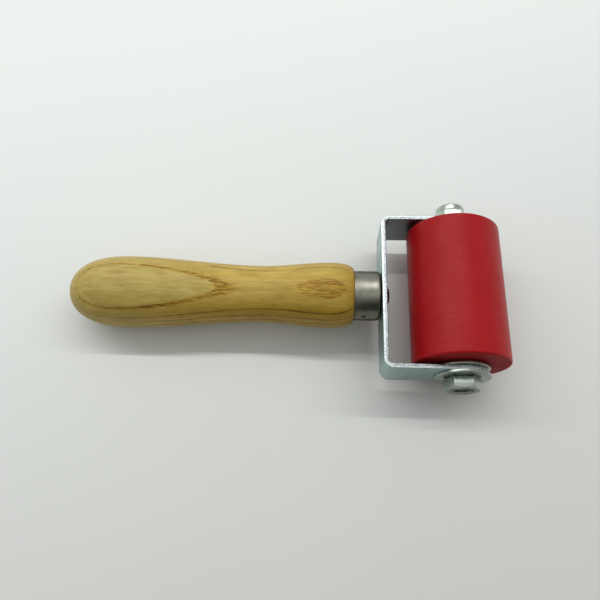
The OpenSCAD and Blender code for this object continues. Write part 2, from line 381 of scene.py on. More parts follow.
blank_points, blank_quads = joined(blank_parts)
fork = make_piece("bent_fork", bent_to_shape(blank_points), blank_quads, strap_zinc, "fork", closed=False)
thickness = fork.modifiers.new("thickness", "SOLIDIFY")
thickness.thickness = strap_t
thickness.offset = -1
thickness.use_even_offset = True
edges = fork.modifiers.new("rounded_edges", "BEVEL")
edges.width = strap_edge
edges.segments = 3
edges.limit_method = "ANGLE"
edges.angle_limit = math.radians(50)
fork.modifiers.new("face_weight", "WEIGHTED_NORMAL")

# Tang
# A bare steel rod, grooved and pointed where it is driven into the wood. Its far end is shouldered,
# goes through the web of the fork and is hammered over into a rivet head.
tang_low, tang_high = span("tang")
tang_r = tang_high[2]
tang_end = tang_low[0]
head_top = tang_high[0]
rivet_head_r = 4.2 * mm
rivet_rim = 0.7 * mm
rivet_taper = 0.1 * mm
rivet_top_r = 2.6 * mm
groove = 0.5 * mm
groove_edge = 0.05 * mm
groove_count = 4
groove_setback = 8 * mm
tang_steps = 64


def softened(corners, steps=4):
    """Outline through (place, radius, rounding) corners, with each corner cut back to an arc."""
    outline = []
    for i, (place, radius, rounding) in enumerate(corners):
        corner = np.array((place, radius))
        if not rounding:
            outline.append(corner)
            continue
        before = np.array(corners[i - 1][:2]) - corner
        after = np.array(corners[(i + 1) % len(corners)][:2]) - corner
        before, after = before / np.linalg.norm(before), after / np.linalg.norm(after)
        half_angle = math.acos(np.clip(before @ after, -1, 1)) / 2
        centre = corner + (before + after) / np.linalg.norm(before + after) * rounding / math.sin(half_angle)
        start = corner + before * rounding / math.tan(half_angle) - centre
        end = corner + after * rounding / math.tan(half_angle) - centre
        sweep = math.pi - 2 * half_angle
        for k in range(steps + 1):
            share = k / steps
            from_start = math.sin((1 - share) * sweep) * start
            from_end = math.sin(share * sweep) * end
            outline.append(centre + (from_start + from_end) / math.sin(sweep))
    return np.array(outline)


def turned(outlines, angles, axis, loop=False):
    """Points and quads of outlines, (place along the axis, radius), one for each angle round the axis."""
    outlines = np.broadcast_to(outlines, (len(angles), *np.shape(outlines)[-2:]))
    place, radius = outlines[..., 0], outlines[..., 1]
    points = np.zeros((*place.shape, 3))
    points[..., axis] = place
    points[..., (axis + 1) % 3] = radius * np.cos(angles)[:, None]
    points[..., (axis + 2) % 3] = radius * np.sin(angles)[:, None]
    turns, count = place.shape
    quads = []
    for i in range(turns):
        following = (i + 1) % turns
        for j in range(count if loop else count - 1):
            nearby = (j + 1) % count
            quad = [i * count + j, following * count + j, following * count + nearby, i * count + nearby]
            on_axis = [outlines[0, j, 1] == 0, outlines[0, nearby, 1] == 0]
            if all(on_axis):
                continue
            if on_axis[0]:
                del quad[1]
            elif on_axis[1]:
                del quad[2]
            quads.append(quad)
    return points.reshape(-1, 3), quads


def full_turn(steps):
    """Even angles once round the axis."""
    return np.arange(steps) * 2 * math.pi / steps


groove_places = np.linspace(tang_end + tang_r, web_outside, groove_count + 2)[1:-1] - groove_setback
tang_corners = [(tang_end, 0, 0), (tang_end + tang_r, tang_r, 0.4 * mm)]
for groove_place in groove_places:
    tang_corners += [
        (groove_place - groove, tang_r, groove_edge),
        (groove_place, tang_r - groove, groove_edge),
        (groove_place + groove, tang_r, groove_edge),
    ]
tang_corners += [
    (web_outside, tang_r, 0.2 * mm),
    (web_outside, rivet_r, 0),
    (web_inside, rivet_r, 0),
    (web_inside, rivet_head_r, 0.25 * mm),
    (web_inside + rivet_rim, rivet_head_r - rivet_taper, 0.4 * mm),
    (head_top, rivet_top_r, 0.5 * mm),
    (head_top, 0, 0),
]
tang_points, tang_quads = turned(softened(tang_corners), full_turn(tang_steps), axis=0)

# The hammer went round the head in a ring of glancing blows.
blow_count = 6
blow_depth = 0.22 * mm
blow_reach = 3.0 * mm


def hammered(points, middle, reach, blows):
    """Flattens a head where a hammer struck it: (angle round the axis, tilt from the axis, depth)."""
    for around, tilt, depth in blows:
        strike = np.array((
            math.cos(tilt), math.sin(tilt) * math.cos(around), math.sin(tilt) * math.sin(around)
        ))
        over = (points - middle) @ strike - (reach(tilt) - depth)
        struck = (over > 0) & (points[:, 0] > middle[0])
        points = np.where(struck[:, None], points - over[:, None] * strike, points)
    return points


def rivet_reach(tilt):
    """How far the rivet head stands from its foot at a tilt from the axis."""
    return (head_top - web_inside) * math.cos(tilt) + blow_reach * math.sin(tilt)


hammer_blows = [
    (math.radians(63 * i + 11), math.radians(38 + 9 * (i % 3)), blow_depth) for i in range(blow_count)
]
rivet_foot = np.array((web_inside, 0, 0))
tang_points = hammered(tang_points, rivet_foot, rivet_reach, hammer_blows)


def bare_steel(name, pale, dull, lines_reach):
    """Bare steel, drawn to size: grey, with fine lines round it and darker mill scale in patches."""
    steel = Finish(name, {"Metallic": 1.0})
    lines = steel.noise(lines_reach, detail=4.0)
    patches = steel.noise((7 * mm, 4 * mm, 4 * mm), detail=4.0, seed=3.0)
    tone = steel.shares(lines, 0.5, patches, 0.5)
    steel.shade({
        "Base Color": steel.mix(steel.level(tone, 0.38, 0.62), dull, pale),
        "Roughness": steel.level(patches, 0.3, 0.7, 0.42, 0.30),
    })
    steel.relief(lines, 0.012 * mm)
    return steel


# The rod's steel is far darker than the tube's: dark steel, and also painted shade that keeps the rivet head
# in the slot dark.
shaded_rod_pale = (0.125, 0.128, 0.128)
shaded_rod_dull = (0.055, 0.056, 0.056)
rod_lines = (0.3 * mm, 12 * mm, 12 * mm)
rod_steel = bare_steel("rod_steel", shaded_rod_pale, shaded_rod_dull, rod_lines)
make_piece("riveted_tang", tang_points, tang_quads, rod_steel, "tang")

# Ferrule
# A cap of satin steel, drawn from sheet, with a rounded front that the tang passes through. It is
# pushed over the tenon of the handle and held there by one punch mark in its side.
ferrule_low, ferrule_high = span("ferrule")
shoulder = ferrule_low[0]
ferrule_front = ferrule_high[0]
ferrule_r = ferrule_high[1]
ferrule_wall = 0.9 * mm
ferrule_lip = 1.0 * mm
tang_hole_r = tang_r + press_fit
stake_place = shoulder + 4.2 * mm
stake_angle = math.radians(170)
stake_r = 1.3 * mm
stake_depth = 0.7 * mm
wall_start = shoulder + 0.4 * mm
wall_end = ferrule_front - ferrule_lip - 0.2 * mm
wall_steps = 56
ferrule_steps = 288

ferrule_angles = full_turn(ferrule_steps)
wall = [(x, ferrule_r, 0) for x in np.linspace(wall_start, wall_end, wall_steps)]
ferrule_outline = softened([
    (shoulder, ferrule_r - ferrule_wall, 0.1 * mm),
    (shoulder, ferrule_r, 0.25 * mm),
    *wall,
    (ferrule_front, ferrule_r, ferrule_lip),
    (ferrule_front, tang_hole_r, 0.2 * mm),
    (ferrule_front - ferrule_wall, tang_hole_r, 0.1 * mm),
    (ferrule_front - ferrule_wall, ferrule_r - ferrule_wall, 0.4 * mm),
], steps=6)
ferrule_outlines = np.repeat(ferrule_outline[None], len(ferrule_angles), axis=0)
on_wall = ferrule_outline[:, 1] > ferrule_r - 0.001 * mm
from_stake = np.hypot(
    ferrule_outline[None, :, 0] - stake_place,
    ferrule_r * ((ferrule_angles - stake_angle + math.pi) % (2 * math.pi) - math.pi)[:, None],
)
dent = stake_depth * np.cos(np.clip(from_stake / stake_r, 0, 1) * math.pi / 2) ** 2
ferrule_outlines[..., 1] -= dent * on_wall

satin_pale = (0.37, 0.365, 0.315)
satin_dull = (0.26, 0.255, 0.21)
satin_tint = (0.15, 0.15, 0.15, 1)
shade_streak_tint = (0.52, 0.50, 0.44)
stake_grime = (0.05, 0.035, 0.022)
satin_steel = Finish("satin_steel", {"Metallic": 1.0, "Specular Tint": satin_tint})
turning_lines = satin_steel.noise((0.12 * mm, 6 * mm, 6 * mm))
handling = satin_steel.noise((3 * mm, 4 * mm, 4 * mm), detail=5.0, seed=2.0)
rubbed = satin_steel.level(satin_steel.along("X"), shoulder, ferrule_front, 0.47, 0.34)
satin_tone = satin_steel.shares(turning_lines, 0.25, handling, 0.75)
satin_colour = satin_steel.mix(satin_steel.level(satin_tone, 0.36, 0.64), satin_dull, satin_pale)

# Painted shade: a streak along its near side, just above the punch mark, is darkened for the shaded table
# that this side reflects. Grime has filled the punch mark.
shade_streak_side = satin_steel.towards((0, -0.90, 0.44))
shade_streak = satin_steel.math(
    "MULTIPLY",
    satin_steel.level(shade_streak_side, 0.95 * ferrule_r, 0.985 * ferrule_r),
    satin_steel.level(handling, 0.30, 0.65, 1.0, 0.75),
)
satin_colour = satin_steel.mix(shade_streak, satin_colour, shade_streak_tint, blend="MULTIPLY")
stake_bottom = (
    stake_place,
    (ferrule_r - stake_depth) * math.cos(stake_angle),
    (ferrule_r - stake_depth) * math.sin(stake_angle),
)
off_stake = satin_steel.node(
    "VectorMath", {0: satin_steel.place, 1: stake_bottom}, output="Value", operation="DISTANCE"
)
in_stake = satin_steel.level(off_stake, 0.4 * mm, 1.2 * mm, 0.85, 0.0)
satin_steel.shade({
    "Base Color": satin_steel.mix(in_stake, satin_colour, stake_grime),
    "Roughness": satin_steel.math("SUBTRACT", rubbed, satin_steel.math("MULTIPLY", handling, 0.1)),
})
satin_steel.relief(turning_lines, 0.005 * mm)
ferrule_mesh = turned(ferrule_outlines, ferrule_angles, axis=0, loop=True)
make_piece("drawn_ferrule", *ferrule_mesh, satin_steel, "ferrule")

# Handle
# Ash, turned to a full butt, a waist for the fingers and a swell behind the ferrule, and dipped in
# clear lacquer. Its tenon fills the ferrule, and the tang is driven into a hole along its middle.
handle_low, handle_high = span("handle")

# The butt is trimmed by a hair, so that its fine mesh stays inside the box of the solid.
butt_trim = 0.02 * mm
butt = handle_low[0] + butt_trim
belly_r = handle_high[1]
belly = butt + 24.5 * mm
waist = shoulder - 37 * mm
waist_r = 11.6 * mm
swell = shoulder - 9.8 * mm
swell_r = 13.4 * mm
end_fullness = 2.35
tenon_end = handle_high[0]
tenon_r = ferrule_r - ferrule_wall - press_fit
handle_steps = 192


def rounded_end(start, reach, height, steps):
    """A rounded end that falls from full height at the start to nothing at the reach."""
    turn = np.linspace(0, math.pi / 2, steps + 1)
    fullness = 2 / end_fullness
    drop = np.clip(np.cos(turn), 0, 1) ** fullness
    drop[-1] = 0
    return np.stack([start + reach * np.sin(turn) ** fullness, height * drop], axis=1)


def level_sweep(start, end, steps):
    """A smooth sweep that is level at both ends, without the two ends themselves."""
    share = np.linspace(0, 1, steps + 1)[1:-1]
    ease = share * share * (3 - 2 * share)
    return np.stack([start[0] + (end[0] - start[0]) * share, start[1] + (end[1] - start[1]) * ease], axis=1)


grip_outline = np.concatenate([
    rounded_end(belly, butt - belly, belly_r, 40)[::-1],
    level_sweep((belly, belly_r), (waist, waist_r), 60),
    [(waist, waist_r)],
    level_sweep((waist, waist_r), (swell, swell_r), 36),
    rounded_end(swell, shoulder - swell, swell_r - ferrule_r, 24) + (0, ferrule_r),
    [
        (shoulder, tenon_r),
        (tenon_end, tenon_r),
        (tenon_end, tang_hole_r),
        (tang_end + tang_r, tang_hole_r),
        (tang_end, 0),
    ],
])

# The heart of the tree lay far above the handle, so the growth rings cross it as nearly flat layers.
heart_height = 106.9 * mm
heart_aside = -19.6 * mm
heart_slope = 0.0239
heart_from = -90 * mm
first_ring = 96.06 * mm
ring_step = 3.51 * mm
lean_years = 0.20

ash_pale = (0.482, 0.374, 0.112)
ash_gold = (0.525, 0.371, 0.087)
ash_shade_and_deep = (0.372, 0.233, 0.024)
grain_dark = (0.86, 0.83, 0.72)
grain_light = (1.11, 1.11, 1.17)
cloud_dark = (0.91, 0.89, 0.82)
cloud_light = (1.09, 1.10, 1.15)
spring_tint = (0.88, 0.77, 0.48)
shaded_spring_tint = (0.70, 0.57, 0.32)
pore_tint = (0.54, 0.43, 0.18)

ash = Finish("lacquered_ash", {
    "Specular IOR Level": 0.2,
    "Coat Weight": 0.1,
    "Coat Roughness": 0.28,
})
from_heart = ash.node("Mapping", {
    "Vector": ash.place,
    "Location": (0, -heart_aside, -heart_height + heart_from * heart_slope),
    "Rotation": (0, heart_slope, 0),
})
across_heart = ash.node("VectorMath", {0: from_heart, 1: (0, 1, 1)}, operation="MULTIPLY")
slow_drift = ash.math("SUBTRACT", ash.noise((45 * mm, 9 * mm, 9 * mm), detail=2.0, seed=1.0), 0.5)
fine_waver = ash.math("SUBTRACT", ash.noise((3.2 * mm, 1.0 * mm, 1.0 * mm), detail=2.0, seed=2.0), 0.5)
ring_depth = ash.math("SUBTRACT", ash.length(across_heart), first_ring)
ring_depth = ash.math("ADD", ring_depth, ash.math("MULTIPLY", slow_drift, 0.3 * mm))
ring_depth = ash.math("ADD", ring_depth, ash.math("MULTIPLY", fine_waver, 0.6 * mm))
years = ash.math("DIVIDE", ring_depth, ring_step)
swing = ash.math("SINE", ash.math("MULTIPLY", years, math.pi / 2))
years = ash.math("SUBTRACT", years, ash.math("MULTIPLY", swing, lean_years))
season = ash.math("FRACT", years)

# Places along the handle between which the wood changes: fewer pores at the butt and fainter ones in the
# swell, a golden tone and stronger painted shade on the low side towards the swell, and a deep tone at the
# shoulder.
butt_zone = (-152 * mm, -118 * mm)
gold_zone = (-135 * mm, -95 * mm)
deep_zone = (-152 * mm, -75 * mm)
swell_zone = (-72 * mm, -64 * mm)
shoulder_zone = (-52 * mm, -44 * mm)
handle_x = ash.along("X")

# Each spring starts sharply with a thin layer of wide pores, and fades into the dense summer wood.
porous = ash.math("MULTIPLY", ash.level(season, 0.0, 0.02), ash.level(season, 0.12, 0.22, 1.0, 0.0))
vigour = ash.level(ash.noise((26 * mm, 7 * mm, 7 * mm), detail=2.0, seed=6.0), 0.30, 0.50, 0.72, 1.0)
vigour = ash.math("MULTIPLY", vigour, ash.level(handle_x, *butt_zone, 0.6, 1.0))
porous = ash.math("MULTIPLY", porous, vigour)
pores = ash.noise((4.5 * mm, 0.45 * mm, 0.45 * mm), detail=2.0, seed=11.0, warp=0.5)
pore_limit = ash.math("SUBTRACT", 0.76, ash.math("MULTIPLY", porous, 0.3))
open_pores = ash.level(ash.math("SUBTRACT", pores, pore_limit), 0.0, 0.09)

# The wood is paler towards the butt and inside the first ring. Its lower near side is darkened as painted
# shade, and the shoulder is a deep tone.
drift = ash.noise((30 * mm, 8 * mm, 8 * mm), seed=5.0)
golden = ash.math("MULTIPLY", ash.level(years, -0.12, 0.02), ash.level(season, 0.5, 1.0, 1.0, 0.6))
golden = ash.math("MULTIPLY", golden, ash.level(handle_x, *gold_zone, 0.2, 1.0))
lower_near = ash.towards((0, -0.77, -0.64))
lower_near = ash.math("ADD", lower_near, ash.math("MULTIPLY", drift, 4 * mm))
shade_and_shoulder_tone = ash.level(lower_near, -2.5 * mm, 4.5 * mm)
shade_and_shoulder_tone = ash.math("MULTIPLY", shade_and_shoulder_tone, ash.level(handle_x, *deep_zone, 0.3, 1.0))
shade_and_shoulder_tone = ash.math("MULTIPLY", shade_and_shoulder_tone, ash.level(lower_near, 6 * mm, 12 * mm, 1.0, 0.65))
shade_and_shoulder_tone = ash.math("MAXIMUM", shade_and_shoulder_tone, ash.level(handle_x, *shoulder_zone, 0.0, 0.75))
plain_wood = ash.mix(shade_and_shoulder_tone, ash.mix(golden, ash_pale, ash_gold), ash_shade_and_deep)

# Fibres, streaks and clouds of tone run along the grain. Pores are fainter on top of the swell, and the
# spring wood is darker on the low side, as painted shade.
fibres = ash.noise((7 * mm, 0.35 * mm, 0.35 * mm), detail=4.0, seed=3.0)
streaks = ash.noise((14 * mm, 1.0 * mm, 1.0 * mm), detail=2.0, seed=7.0)
clouds = ash.noise((9 * mm, 2.8 * mm, 2.8 * mm), seed=8.0)
grain = ash.shares(fibres, 0.5, streaks, 0.5)
wood = ash.mix(
    1.0, plain_wood, ash.mix(ash.level(grain, 0.36, 0.64), grain_dark, grain_light), blend="MULTIPLY"
)
wood = ash.mix(
    1.0, wood, ash.mix(ash.level(clouds, 0.34, 0.66), cloud_dark, cloud_light), blend="MULTIPLY"
)
shaded_low_side = ash.level(lower_near, 0.0, 4 * mm)
pore_strength = ash.level(handle_x, *swell_zone, 1.0, 0.76)
open_pores = ash.math("MULTIPLY", open_pores, ash.math("MAXIMUM", pore_strength, shaded_low_side))
wood = ash.mix(porous, wood, ash.mix(shaded_low_side, spring_tint, shaded_spring_tint), blend="MULTIPLY")
wood = ash.mix(open_pores, wood, pore_tint, blend="MULTIPLY")
ash.shade({
    "Base Color": wood,
    "Roughness": ash.level(fibres, 0.3, 0.7, 0.52, 0.42),
})
ash.relief(ash.math("SUBTRACT", ash.math("MULTIPLY", fibres, 0.2), open_pores), 0.08 * mm)
make_piece("turned_handle", *turned(grip_outline, full_turn(handle_steps), axis=0), ash, "handle")

# Roller tube
# A length of bare steel tube, the core that the rubber is moulded on. The bushes close its ends, so
# nothing of it shows on the finished tool.
tube_pale = (0.55, 0.55, 0.55)
tube_dull = (0.38, 0.37, 0.36)
tube_lines = (8 * mm, 0.3 * mm, 8 * mm)
tube_steel = bare_steel("tube_steel", tube_pale, tube_dull, tube_lines)
frame["nodes"]["roller_core"].data.materials[0] = tube_steel.material

# Rubber sleeve
# Solid red rubber, moulded on the tube and then ground true on a lathe, which leaves fine rings round
# it. The cut ends are duller, and their edges are slightly rounded.
sleeve_high = span("roller_sleeve")[1]
sleeve_r = sleeve_high[2]
sleeve_half = sleeve_high[1]
sleeve_edge = 1.0 * mm
sleeve_bore_r = span("roller_core")[1][2] + press_fit
ring_count = 30
sleeve_steps = 192
sleeve_rings = [(y, sleeve_r, 0) for y in np.linspace(-sleeve_half, sleeve_half, ring_count)[1:-1]]
sleeve_outline = softened([
    (-sleeve_half, sleeve_bore_r, 0.2 * mm),
    (-sleeve_half, sleeve_r, sleeve_edge),
    *sleeve_rings,
    (sleeve_half, sleeve_r, sleeve_edge),
    (sleeve_half, sleeve_bore_r, 0.2 * mm),
], steps=8)

rubber_deep = (0.350, 0.005, 0.008)
rubber_bloomed = (0.390, 0.011, 0.014)
rubber_cut = (0.322, 0.005, 0.007)
rubber = Finish("ground_rubber", {"Specular IOR Level": 0.18})
grinding = rubber.noise((9 * mm, 0.16 * mm, 9 * mm), detail=2.0)
bloom = rubber.noise((8 * mm, 14 * mm, 8 * mm), detail=5.0, seed=1.0)
scuffs = rubber.noise((5 * mm, 1.6 * mm, 5 * mm), detail=4.0, seed=3.0, warp=0.5)
grit = rubber.noise(0.25 * mm, detail=2.0, seed=2.0)
wear = rubber.shares(bloom, 0.5, scuffs, 0.5)
off_middle = rubber.math("ABSOLUTE", rubber.along("Y"))
on_end = rubber.level(off_middle, sleeve_half - 0.4 * mm, sleeve_half - 0.1 * mm)
ground_red = rubber.mix(rubber.level(wear, 0.34, 0.66), rubber_deep, rubber_bloomed)
ground_gloss = rubber.level(wear, 0.34, 0.66, 0.44, 0.36)
rubber.shade({
    "Base Color": rubber.mix(on_end, ground_red, rubber_cut),
    "Roughness": rubber.math("MAXIMUM", ground_gloss, rubber.math("MULTIPLY", on_end, 0.64)),
})
rubber.relief(rubber.shares(grinding, 0.6, grit, 0.4), 0.02 * mm)
sleeve_mesh = turned(sleeve_outline, full_turn(sleeve_steps), axis=1, loop=True)
make_piece("rubber_sleeve", *sleeve_mesh, rubber, "roller_sleeve")

# Bushes
# Two flanged bushes of sintered bronze, pressed into the ends of the tube. The bolt runs in them,
# and their flanges run against the thrust washers.
bronze_pale = (0.62, 0.44, 0.20)
bronze_dark = (0.40, 0.25, 0.10)
bronze = Finish("sintered_bronze", {"Metallic": 1.0})
grains = bronze.noise(0.3 * mm)
oil = bronze.noise(3 * mm, seed=1.0)
bronze.shade({
    "Base Color": bronze.mix(bronze.level(grains, 0.35, 0.65), bronze_dark, bronze_pale),
    "Roughness": bronze.level(oil, 0.3, 0.7, 0.55, 0.34),
})
bronze.relief(grains, 0.03 * mm)
for bush in ("bush_near", "bush_far"):
    frame["nodes"][bush].data.materials[0] = bronze.material

# Washers
# Three flat washers, stamped from sheet and zinc-plated: one under the head of the bolt, and one on
# each side of the roller, which keep the rubber off the legs of the fork.
washer_rim = 0.3 * mm
washer_burr = 0.12 * mm
washer_steps = 128
stamped_lines = (14 * mm, 0.4 * mm, 14 * mm)
hardware_pale = (0.46, 0.515, 0.47)
hardware_dull = (0.30, 0.34, 0.30)
washer_zinc = plated_zinc("hardware_zinc", hardware_pale, hardware_dull, stamped_lines, gloss=0.14)
washer_zinc.relief(washer_zinc.height, plating_relief)
washer_names = {
    "head_washer": "washer_under_head",
    "thrust_washer_near": "washer_near_leg",
    "thrust_washer_far": "washer_far_leg",
}
for node, name in washer_names.items():
    washer_low, washer_high = span(node)
    washer_outline = softened([
        (washer_low[1], bolt_hole_r, washer_burr),
        (washer_low[1], washer_high[2], washer_rim),
        (washer_high[1], washer_high[2], washer_burr),
        (washer_high[1], bolt_hole_r, washer_rim),
    ], steps=5)
    washer_mesh = turned(washer_outline, full_turn(washer_steps), axis=1, loop=True)
    make_piece(name, *washer_mesh, washer_zinc, node)

# Axle bolt
# A zinc-plated hexagon bolt whose plain shank is the axle. Its head is forged with a round dish in the
# end and a bevel on the corners, and its tail has a rolled thread for the lock nut.
bolt_low, bolt_high = span("axle_bolt")
head_end = bolt_low[1]
head_seat = span("head_washer")[0][1]
bolt_end = bolt_high[1]
shank_r = 3.95 * mm
flat_r = 6.35 * mm
corner_round = 0.4 * mm
corner_inset = 0.3 * mm
corner_slope = math.tan(math.radians(30))
bevel_r = flat_r - corner_inset
forged_edge = 0.12 * mm
dish_r = 4.25 * mm
dish_depth = 1.0 * mm
seat_face = 0.4 * mm
seat_face_r = 5.7 * mm
seat_start = head_seat - seat_face
head_turn = math.radians(53)
head_corner = math.radians(30) + head_turn
thread_start = leg_inside - 2 * mm
thread_pitch = 1.411 * mm
thread_depth = 0.75 * mm
thread_steps = 110
end_bevel = 0.8 * mm
tail_r = shank_r - end_bevel - 0.2 * mm

# Angles from a corner of the hexagon: close together round the corner, wider along the flat
corner_steps = 6
flat_steps = 13
corner_centre = (flat_r - corner_round) / math.cos(math.pi / 6)
corner_reach = math.atan2(
    corner_round * math.sin(math.pi / 6), corner_centre + corner_round * math.cos(math.pi / 6)
)
corner_offsets = np.concatenate([
    np.linspace(-corner_reach, corner_reach, corner_steps + 1),
    np.linspace(corner_reach, math.pi / 3 - corner_reach, flat_steps + 1)[1:-1],
])
angle_slack = 1e-9


def hexagon_angles(turn):
    """Angles round a hexagon whose first corner lies at the turn."""
    return np.concatenate([turn + math.pi / 3 * k + corner_offsets for k in range(6)])


def hexagon_radius(angle, turn):
    """Distance from the axis to the side of a hexagon with rounded corners."""
    off_corner = (angle - turn + math.pi / 6) % (math.pi / 3) - math.pi / 6
    if abs(off_corner) <= corner_reach + angle_slack:
        aside = corner_centre * math.sin(off_corner)
        return corner_centre * math.cos(off_corner) + math.sqrt(corner_round**2 - aside**2)
    return flat_r / math.cos(math.pi / 6 - abs(off_corner))


def thread_radius(place, angle):
    """Distance from the axis to a rolled thread, which starts gradually at the shank."""
    phase = ((place - thread_start) / thread_pitch - angle / (2 * math.pi)) % 1
    valley = np.clip(1.7 * np.abs(2 * phase - 1) - 0.35, 0, 1)
    run_out = np.clip((place - thread_start) / (2 * thread_pitch), 0, 1)
    return shank_r - thread_depth * (1 - valley) * run_out


def bolt_outline(angle):
    """Outline of the bolt at one angle, from the middle of its dish to the middle of its tail."""
    side_r = hexagon_radius(angle, head_corner)
    bevel_drop = (side_r - bevel_r) * corner_slope
    head = softened([
        (head_end + dish_depth, 0, 0),
        (head_end + dish_depth, dish_r, 0.5 * mm),
        (head_end, dish_r, 0.25 * mm),
        (head_end, bevel_r, 0.2 * mm),
        (head_end + bevel_drop, side_r, forged_edge),
        (seat_start, side_r, forged_edge),
        (seat_start, seat_face_r, 0.1 * mm),
        (head_seat, seat_face_r, 0.1 * mm),
        (head_seat, shank_r, forged_edge),
        (thread_start, shank_r, 0),
    ])
    places = np.linspace(thread_start, bolt_end - end_bevel, thread_steps)[1:]
    thread = np.stack([places, thread_radius(places, angle)], axis=1)
    tail = np.array([(bolt_end, tail_r), (bolt_end, 0)])
    return np.concatenate([head, thread, tail])


bolt_angles = hexagon_angles(head_corner)
bolt_outlines = np.array([bolt_outline(angle) for angle in bolt_angles])

# Painted shade: the dish of the head, its rim, the flats next to the washer and the seat behind the head are
# darkened in uneven patches, for the shade and dark reflections there.
painted_head_shade = (0.035, 0.036, 0.03)
bolt_zinc = plated_zinc("bolt_zinc", hardware_pale, hardware_dull, stamped_lines, gloss=0.20)
bolt_zinc.relief(bolt_zinc.height, plating_relief)
across_axle = bolt_zinc.node("VectorMath", {0: bolt_zinc.place, 1: (1, 0, 1)}, operation="MULTIPLY")
off_axle = bolt_zinc.length(across_axle)
bolt_y = bolt_zinc.along("Y")
dish_shade = bolt_zinc.math(
    "MULTIPLY",
    bolt_zinc.level(off_axle, dish_r, dish_r + 0.1 * mm, 1.0, 0.0),
    bolt_zinc.level(bolt_y, head_end + 0.55 * mm, head_end + 0.7 * mm),
)
rim_shade = bolt_zinc.level(bolt_y, head_end + 0.04 * mm, head_end + 0.12 * mm, 0.70, 0.0)
washer_side_shade = bolt_zinc.level(bolt_y, head_seat - 2.0 * mm, head_seat - 1.6 * mm, 0.0, 0.42)
seat_shade = bolt_zinc.level(bolt_y, seat_start - 0.1 * mm, seat_start + 0.1 * mm, 0.0, 0.55)
on_head = bolt_zinc.level(bolt_y, head_seat + 0.1 * mm, head_seat + 0.3 * mm, 1.0, 0.0)
patches = bolt_zinc.level(bolt_zinc.noise(2.2 * mm, seed=6.0), 0.32, 0.66, 0.52, 0.98)
end_shade = bolt_zinc.math("MAXIMUM", dish_shade, rim_shade)
end_and_flat_shade = bolt_zinc.math("MULTIPLY", bolt_zinc.math("MAXIMUM", end_shade, washer_side_shade), patches)
painted_shade = bolt_zinc.math("MULTIPLY", bolt_zinc.math("MAXIMUM", end_and_flat_shade, seat_shade), on_head)
bolt_zinc.shade({"Base Color": bolt_zinc.mix(painted_shade, bolt_zinc.colour, painted_head_shade)})
make_piece("hexagon_bolt", *turned(bolt_outlines, bolt_angles, axis=1), bolt_zinc, "axle_bolt")

# Lock nut
# A zinc-plated hexagon nut with a round collar, rolled over at its mouth to hold a nylon ring. It
# draws the bolt up against the legs and leaves the roller free to turn.
nut_low, nut_high = span("lock_nut")
nut_seat = nut_low[1]
nut_top = nut_high[1]
ring_low, ring_high = span("nut_insert")
ring_seat = ring_low[1]
ring_top = ring_high[1]
ring_r = ring_high[2]
thread_play = 0.05 * mm
thread_hole_r = shank_r + thread_play
collar_r = flat_r - 0.4 * mm
collar_round = 0.8 * mm
collar_groove = 0.25 * mm
mouth_r = (ring_r + thread_hole_r) / 2
nut_corner = math.radians(30)


def nut_outline(angle):
    """Closed outline of the nut at one angle, from the foot of its bore round and back."""
    side_r = hexagon_radius(angle, nut_corner)
    bevel_drop = (side_r - bevel_r) * corner_slope
    return softened([
        (nut_seat, thread_hole_r, 0.2 * mm),
        (nut_seat, bevel_r, 0.15 * mm),
        (nut_seat + bevel_drop, side_r, forged_edge),
        (ring_seat - bevel_drop, side_r, forged_edge),
        (ring_seat, collar_r + collar_groove, 0.1 * mm),
        (ring_seat, collar_r - collar_groove, 0.1 * mm),
        (ring_seat + 2 * collar_groove, collar_r, 0.15 * mm),
        (nut_top, collar_r, collar_round),
        (nut_top, mouth_r, 0.2 * mm),
        (ring_top, mouth_r, 0.1 * mm),
        (ring_top, ring_r, 0.05 * mm),
        (ring_seat, ring_r, 0.05 * mm),
        (ring_seat, thread_hole_r, 0.1 * mm),
    ], steps=5)


# Painted light: the nut's zinc is a paler copy of the bolt's, for the brighter light on its collar and flats.
lit_nut_pale = (0.62, 0.69, 0.625)
lit_nut_dull = (0.43, 0.48, 0.43)
lit_nut_zinc = plated_zinc("lit_nut_zinc", lit_nut_pale, lit_nut_dull, stamped_lines, gloss=0.18)
lit_nut_zinc.relief(lit_nut_zinc.height, plating_relief)
nut_angles = hexagon_angles(nut_corner)
nut_outlines = np.array([nut_outline(angle) for angle in nut_angles])
make_piece("collar_nut", *turned(nut_outlines, nut_angles, axis=1, loop=True), lit_nut_zinc, "lock_nut")

# Nylon ring
# A ring of natural nylon, trapped in the collar of the nut. The thread of the bolt cuts its way into
# it, and its grip keeps the nut from working loose as the roller turns.
ring_edge = 0.1 * mm
ring_entry = 0.35 * mm
nylon_ring_steps = 96
nylon_pale = (0.86, 0.87, 0.82)
nylon_dull = (0.74, 0.74, 0.68)
nylon = Finish("natural_nylon", {
    "Subsurface Weight": 0.3,
    "Subsurface Radius": (1.2 * mm, 1.1 * mm, 0.9 * mm),
    "Subsurface Scale": 1.0,
})
flow = nylon.noise(1.5 * mm)
nylon.shade({
    "Base Color": nylon.mix(nylon.level(flow, 0.35, 0.65), nylon_dull, nylon_pale),
    "Roughness": nylon.level(flow, 0.3, 0.7, 0.36, 0.5),
})
nylon.relief(flow, 0.02 * mm)
ring_outline = softened([
    (ring_seat, thread_hole_r, ring_edge),
    (ring_seat, ring_r, ring_edge),
    (ring_top, ring_r, ring_edge),
    (ring_top, thread_hole_r, ring_entry),
], steps=5)
ring_mesh = turned(ring_outline, full_turn(nylon_ring_steps), axis=1, loop=True)
make_piece("nylon_ring", *ring_mesh, nylon, "nut_insert")
